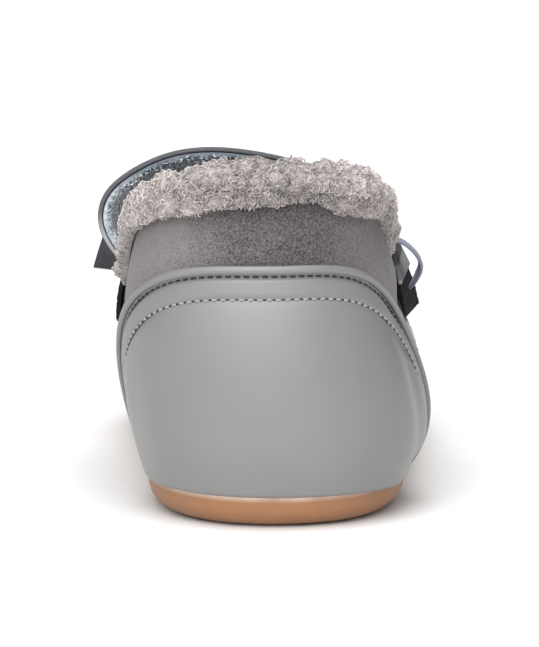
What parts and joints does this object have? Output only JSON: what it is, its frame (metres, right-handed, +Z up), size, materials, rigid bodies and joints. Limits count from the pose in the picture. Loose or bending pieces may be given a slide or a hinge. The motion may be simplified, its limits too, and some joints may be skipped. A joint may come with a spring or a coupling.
{
  "type": "mary jane sneaker",
  "caption": "Toddler's mary jane shoe for the right foot: hollow suede and leather upper with a fleece collar, instep strap and ribbon pull loop on a flat gum rubber sole.",
  "frame": {"origin": "on the floor, under the middle of the sole's length", "axes": "+Y towards the toe, +X towards the outer side of the foot, +Z up"},
  "size_m": [0.0691, 0.1511, 0.0704],
  "materials": {
    "gum_rubber": "matte moulded gum rubber",
    "footbed_fleece": "short fleece pile",
    "taupe_suede": "napped suede",
    "grey_leather": "smooth semi-gloss leather",
    "cream_leather": "smooth soft leather",
    "charcoal_suede": "napped suede",
    "grey_fleece": "curly teddy fleece",
    "blue_grey_lining": "brushed lining cloth",
    "black_loop_tape": "fine loop pile",
    "grey_ribbon": "woven satin ribbon"
  },
  "bodies": {
    "root": {"outsole": "gum_rubber", "insole": "footbed_fleece", "upper": "taupe_suede", "heel_counter": "grey_leather", "counter_binding": "grey_leather", "vamp": "cream_leather", "throat_facing": "charcoal_suede", "fleece_collar": "grey_fleece", "strap": "charcoal_suede", "strap_lining": "blue_grey_lining", "inner_side_pad": "black_loop_tape", "strap_tab": "black_loop_tape", "pull_loop": "grey_ribbon"}
  },
  "joints": []
}
